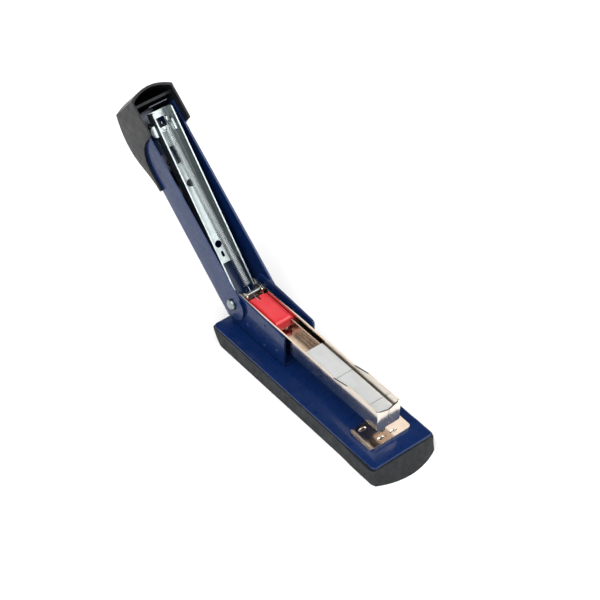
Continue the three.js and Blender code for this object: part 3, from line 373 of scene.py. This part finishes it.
def softened(node, edge_round):
    """A copy of a CAD part, smooth across its curves, with its sharp edges rounded by edge_round."""
    mesh = frame["nodes"][node].data.copy()
    mesh.name = node + "_soft"
    if "custom_normal" in mesh.attributes:
        mesh.attributes.remove(mesh.attributes["custom_normal"])
    tidy = bmesh.new()
    tidy.from_mesh(mesh)
    bmesh.ops.remove_doubles(tidy, verts=tidy.verts, dist=CAD_SEAM_GAP)
    bmesh.ops.dissolve_limit(tidy, angle_limit=FLAT_WITHIN, verts=tidy.verts, edges=tidy.edges)
    tidy.to_mesh(mesh)
    tidy.free()
    mesh.shade_smooth()
    mesh.set_sharp_from_angle(angle=SMOOTH_BELOW)
    piece = bpy.data.objects.new(node + "_soft", mesh)
    bpy.context.scene.collection.objects.link(piece)
    if edge_round:
        bevel = piece.modifiers.new("edge_round", "BEVEL")
        bevel.width = edge_round
        bevel.segments = BEVEL_SEGMENTS
        bevel.limit_method = "ANGLE"
        bevel.angle_limit = SMOOTH_BELOW
        bevel.harden_normals = True
        bevel.miter_outer = "MITER_ARC"
    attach(piece, BODIES[node])
    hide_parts(node)
    return piece


# Millimetres. Zero means that the part gets no Bevel modifier.
EDGE_ROUNDS = {
    "base_pad": 0.5, "base_plate": 0.0, "bracket": 0.2, "arm_channel": 0.25, "arm_cap": 0.3,
    "carrier_channel": 0.15, "magazine_casing": 0.15, "core_rail": 0.12, "anvil_plate": 0.3,
    "pusher": 0.3, "pivot_pin": 0.0, "bracket_rivet_rear": 0.0, "bracket_rivet_front": 0.0,
    "driver_blade": 0.1,
    "magazine_lift_spring": 0.12, "handle_spring": 0.12, "spring_bar": 0.0, "anvil_post": 0.1,
    "anvil_button": 0.3, "core_rivet_rear": 0.0, "core_rivet_front": 0.0, "driver_rivet": 0.0,
    "handle_spring_rivet": 0.0,
}
for node, edge_round in EDGE_ROUNDS.items():
    softened(node, edge_round * MM)
print("softened parts:", len(EDGE_ROUNDS))

# %% [markdown]
# ## Rows of staples
# Staples come glued in strips. Each is one wire bent over the rail, so a strip is a U-shaped section
# carried along X whose surface swells and dips once per wire. One grid holds the whole strip.

# %% The staple section and its scallops
WIRE = 0.5 * MM
WIRE_BEND = 0.4 * MM
BEND_POINTS = 5
CROWN_POINTS = 9
SCALLOP = 0.05 * MM
ACROSS_WIRE = [-1.0, -0.85, -0.5, 0.0, 0.5, 0.85]  # the next wire's -1 ends it


def staple_section(half, top, bottom):
    """The wire's middle line in (y, z), leg tip to leg tip over the crown, with its outward normals."""
    turn = np.linspace(0, math.pi / 2, BEND_POINTS)
    inner, under = half - WIRE_BEND, top - WIRE_BEND
    left = np.stack([-inner - WIRE_BEND * np.cos(turn), under + WIRE_BEND * np.sin(turn)], axis=1)
    crown_y = np.linspace(-inner, inner, CROWN_POINTS)[1:-1]
    crown = np.stack([crown_y, np.full(len(crown_y), top)], axis=1)
    right = (left * [-1, 1])[::-1]
    line = np.concatenate([[[-half, bottom]], left, crown, right, [[half, bottom]]])
    along = np.gradient(line, axis=0)
    along /= np.linalg.norm(along, axis=1, keepdims=True)
    return line, np.stack([-along[:, 1], along[:, 0]], axis=1)


def staple_strip(node):
    """The section plus or minus half a wire, less scallop * |u|^4, with u running -1 to 1 over a wire."""
    low, high = box_of(node)
    wires = int(round((high[0] - low[0]) / WIRE))
    across = np.append(np.tile(ACROSS_WIRE, wires), 1.0)
    steps = np.append(np.repeat(np.arange(wires), len(ACROSS_WIRE)), wires - 1)
    x = low[0] + (steps + (across + 1) / 2) * (high[0] - low[0]) / wires
    line, outward = staple_section(high[1] - WIRE / 2, high[2] - WIRE / 2, low[2])
    thick = WIRE / 2 - SCALLOP * np.abs(across) ** 4
    outer = line[None] + outward[None] * thick[:, None, None]
    inner = (line[None] - outward[None] * thick[:, None, None])[:, ::-1]
    ring = np.concatenate([outer, inner], axis=1)
    points = np.concatenate([np.broadcast_to(x[:, None, None], (*ring.shape[:2], 1)), ring], axis=2)
    count = ring.shape[1]
    sides = grid_faces(len(x), count, closed=True)
    lower = np.arange(len(line) - 1)
    end = np.stack([lower, lower + 1, count - 2 - lower, count - 1 - lower], axis=1)
    return points.reshape(-1, 3), np.concatenate([sides, end[:, ::-1], end + (len(x) - 1) * count])


for number in (1, 2, 3):
    strip_node = f"staple_strip_{number}"
    strip = new_piece(f"staples_{number}", staple_strip(strip_node), strip_node)
    strip.data.set_sharp_from_angle(angle=math.radians(50))

# %% [markdown]
# ## Coil springs
# A coil is a helix: a point goes round a circle while it moves along the axis. The wire is a small
# circle carried along that path. Its two end rings shrink to a point, which closes it.

# %% A wire along any path
PATH_POINTS = 40


def wire(path, reference, radius, sides=7):
    """Path points plus radius * (cos a * n + sin a * b), n and b square to path, n also to reference."""
    along = np.gradient(path, axis=0)
    along /= np.linalg.norm(along, axis=1, keepdims=True)
    side = np.cross(along, np.broadcast_to(reference, path.shape))
    side /= np.linalg.norm(side, axis=1, keepdims=True)
    up = np.cross(side, along)
    size = np.full(len(path) + 2, radius)
    size[[0, -1]] = 0
    pick = np.clip(np.arange(-1, len(path) + 1), 0, len(path) - 1)
    turn = np.linspace(0, 2 * math.pi, sides, endpoint=False)[None, :, None]
    ring = np.cos(turn) * side[pick][:, None] + np.sin(turn) * up[pick][:, None]
    points = path[pick][:, None] + size[:, None, None] * ring
    return points.reshape(-1, 3), grid_faces(len(size), sides, closed=True)


def helix(start, end, radius, turns, per_turn=14):
    """Points round the line from start to end: radius * (cos a * u + sin a * v), a growing evenly."""
    axis = end - start
    length = np.linalg.norm(axis)
    axis = axis / length
    u = np.cross(axis, [0, 1.0, 0])
    u /= np.linalg.norm(u)
    v = np.cross(axis, u)
    angle = np.linspace(0, 2 * math.pi * turns, int(turns * per_turn) + 1)
    share = (angle / angle[-1])[:, None]
    around = np.cos(angle)[:, None] * u + np.sin(angle)[:, None] * v
    return start + axis * length * share + radius * around, axis


def smooth_path(corners):
    """A rounded run through the corners: straight interpolation, then a moving average."""
    corners = np.array(corners)
    reach = np.concatenate([[0], np.cumsum(np.linalg.norm(np.diff(corners, axis=0), axis=1))])
    at = np.linspace(0, reach[-1], PATH_POINTS)
    run = np.stack([np.interp(at, reach, corners[:, axis]) for axis in range(3)], axis=1)
    soft = run.copy()
    soft[1:-1] = (run[:-2] + run[1:-1] * 2 + run[2:]) / 4
    return soft


# %% [markdown]
# ## The feed spring
# Opening the arm stretches this long spring, which draws the pusher back to free the magazine. It
# hooks into the carrier's window near its front, runs along under the web, and its rear end goes round
# a bar by the pin. The coil and the two plain ends are three wires in one mesh.

# %% Feed spring, coil and hooks
BAR_LOW, BAR_HIGH = box_of("spring_bar")
COIL_RADIUS = 2.4 * MM
COIL_WIRE = 0.24 * MM
COIL_PITCH = 1.1 * MM
COIL_BAR_GAP = 5 * MM
HOOK_ALONG = 104.5 * MM
HOOK_ABOVE = 6.3 * MM
HOOK_CLEAR = 1.7 * MM  # the wire's middle line from the bar's
HOOK_RUN = 1.6 * MM  # straight on past the coil before the front wire climbs
FRONT_CLIMB = [(108.2 * MM, 9.2 * MM), (109.6 * MM, 9.9 * MM)]  # along and above the carrier
BAR_RUN = 1.2 * MM
UNDER_BAR = np.array([0.55, 0, -0.83])
TAIL_BEND = 0.6 * MM  # ahead of the pusher's back
TAIL_END = 2.2 * MM
TAIL_RISE = 1.7 * MM  # above the pin


def feed_spring():
    """A stretched helix between the two hooks, one turn every 1.1 mm, and a plain wire at each end."""
    bar = (BAR_LOW + BAR_HIGH) / 2
    hook = from_pin(HOOK_ALONG, HOOK_ABOVE)
    along = (hook - bar) / np.linalg.norm(hook - bar)
    side = np.array([-along[2], 0, along[0]])
    over = bar + side * HOOK_CLEAR
    start = over + along * COIL_BAR_GAP
    turns = round(np.linalg.norm(hook - start) / COIL_PITCH)
    coil, axis = helix(start, hook, COIL_RADIUS - COIL_WIRE, turns)
    front = smooth_path([coil[-1], hook + along * HOOK_RUN, *(from_pin(*place) for place in FRONT_CLIMB)])
    tail = box_of("pusher")[0][0]
    rear = smooth_path([
        coil[0], start - along * BAR_RUN, over, bar + UNDER_BAR * HOOK_CLEAR,
        np.array([tail + TAIL_BEND, 0, bar[2] - HOOK_CLEAR]),
        np.array([tail + TAIL_END, 0, PIN[2] + TAIL_RISE])])
    across = np.array([0, 1.0, 0])
    routes = [(coil, axis), (front, across), (rear, across)]
    return joined([wire(path, reference, COIL_WIRE) for path, reference in routes])


feed = new_piece("feed_coil", feed_spring(), "feed_spring")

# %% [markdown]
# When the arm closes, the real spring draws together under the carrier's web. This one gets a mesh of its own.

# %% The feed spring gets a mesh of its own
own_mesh(feed)

# %% [markdown]
# ## The anvil's own spring and the two leaf springs
# Under the base a short stiff coil pulls the anvil down. Pushing the button from below squeezes it.
# The leaf under the magazine and the leaf in the arm give in the same way, each towards the part it is
# fixed to.

# %% Short coil under the anvil
SPRING_LOW, SPRING_HIGH = box_of("anvil_spring")
BUTTON_WIRE = 0.45 * MM
BUTTON_TURNS = 4


def anvil_coil():
    """A helix of a few turns inside the CAD spring's ring, from its foot to its top."""
    centre = (SPRING_LOW + SPRING_HIGH) / 2
    foot = np.array([centre[0], centre[1], SPRING_LOW[2] + BUTTON_WIRE])
    top = np.array([centre[0], centre[1], SPRING_HIGH[2] - BUTTON_WIRE])
    radius = (SPRING_HIGH[0] - SPRING_LOW[0]) / 2 - BUTTON_WIRE
    coil, axis = helix(foot, top, radius, BUTTON_TURNS, per_turn=28)
    return wire(coil, axis, BUTTON_WIRE, sides=10)


button_coil = new_piece("anvil_coil", anvil_coil(), "anvil_spring")
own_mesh(button_coil)

# %% The leaf under the magazine gets a mesh of its own
leaf_low, leaf_high = box_of("magazine_lift_spring")
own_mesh(bpy.data.objects["magazine_lift_spring_soft"])
print("lift spring is", round((leaf_high[2] - leaf_low[2]) / MM, 1), "mm high at rest")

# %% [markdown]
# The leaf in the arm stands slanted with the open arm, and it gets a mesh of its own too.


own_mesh(bpy.data.objects["handle_spring_soft"])

# %% [markdown]
# ## The floor and the light
# A large pale floor, soft area lights, a broad sun like a window, and a room that is bright near the
# horizon and dark overhead. Gloss paint and bright metal show what is around them, and the dark
# ceiling keeps the enamel deep.

# %% A pale floor
FLOOR_HALF = 6.0
floor_sides = [-FLOOR_HALF, FLOOR_HALF]
floor_points = np.stack(np.meshgrid(floor_sides, floor_sides, [0.0]), axis=-1).reshape(-1, 3)
floor_mesh = bpy.data.meshes.new("floor")
floor_mesh.from_pydata(floor_points.tolist(), [], [(0, 2, 3, 1)])
pale = start_finish("pale_floor", (0.93, 0.93, 0.93), 0.0, 0.7)
vary_roughness(pale, noise(pale, 40), 0.62, 0.8)
floor_mesh.materials.append(pale)
floor = bpy.data.objects.new("floor", floor_mesh)
bpy.context.scene.collection.objects.link(floor)
print("floor is", 2 * FLOOR_HALF, "m wide")

# %% The room, white at the horizon and dark overhead
HORIZON = (0.02, (1.0, 1.0, 1.0, 1))  # height as a share of straight up, and the colour there
CEILING = (0.38, (0.08, 0.08, 0.09, 1))
ROOM_STRENGTH = 0.9
world = bpy.data.worlds.new("white_room")
world.use_nodes = True
bpy.context.scene.world = world
sky = world.node_tree.nodes["Background"]
ramp = world.node_tree.nodes.new("ShaderNodeValToRGB")
direction = world.node_tree.nodes.new("ShaderNodeTexCoord")
split = world.node_tree.nodes.new("ShaderNodeSeparateXYZ")
world.node_tree.links.new(direction.outputs["Generated"], split.inputs[0])
world.node_tree.links.new(split.outputs["Z"], ramp.inputs["Fac"])
world.node_tree.links.new(ramp.outputs["Color"], sky.inputs["Color"])
for stop, (height, colour) in zip(ramp.color_ramp.elements, (HORIZON, CEILING)):
    stop.color = colour
    stop.position = height
sky.inputs["Strength"].default_value = ROOM_STRENGTH
bpy.context.scene.view_settings.view_transform = "Standard"
print("world strength:", ROOM_STRENGTH)

# %% [markdown]
# An area light gives a soft edge to every shadow. The last one is a dim warm card, as held over a
# table in a studio, which bright metal shows as a golden streak. The sun is 70 degrees wide, so it
# casts no hard shadow.

# %% Area lights and a broad sun
def stand(data, away):
    """An object for a light, turned so that it shines against the direction away."""
    light = bpy.data.objects.new(data.name, data)
    bpy.context.scene.collection.objects.link(light)
    light.rotation_mode = "QUATERNION"
    light.rotation_quaternion = away.to_track_quat("Z", "Y")
    return light


def soft_light(name, place, aim, width, power, colour=(1.0, 1.0, 1.0)):
    """A square area light at a place, facing a point."""
    lamp = bpy.data.lights.new(name, "AREA")
    lamp.size = width
    lamp.energy = power
    lamp.color = colour
    stand(lamp, Vector(place) - Vector(aim)).location = place


soft_light("key_light", (0.1, -0.95, 1.25), (-0.04, 0, 0.03), 0.9, 7.0)
soft_light("rim_light", (0.75, 0.85, 0.9), (-0.04, 0, 0.04), 1.0, 14.0)
window = bpy.data.lights.new("window_light", "SUN")
window.energy = 2.9
window.angle = math.radians(70)
stand(window, Vector((0.2, -0.7, 1.3)))
soft_light("warm_card", (-0.75, 0.55, 0.85), (0.0, 0, 0.02), 0.55, 1.1, (1.0, 0.9, 0.8))
print("lights:", [light.name for light in bpy.data.lights])

# %% [markdown]
# ## The camera
# A long lens from the front right and well above, so that the near end of the base points at the
# viewer.

# %% Camera
CAMERA_AIM = Vector((-0.05878, 0.03012, 0.012))
CAMERA_BACK = Vector((0.5604, -0.4512, 0.6945)).normalized()
CAMERA_DISTANCE = 1.2
FOCAL_LENGTH = 124.34  # millimetres, as is the sensor
SENSOR = 36
lens = bpy.data.cameras.new("camera")
lens.lens = FOCAL_LENGTH
lens.sensor_width = SENSOR
camera = bpy.data.objects.new("camera", lens)
bpy.context.scene.collection.objects.link(camera)
camera.location = CAMERA_AIM + CAMERA_BACK * CAMERA_DISTANCE
camera.rotation_mode = "QUATERNION"
camera.rotation_quaternion = CAMERA_BACK.to_track_quat("Z", "Y")
bpy.context.scene.camera = camera
print("camera at", [round(v, 3) for v in camera.location])
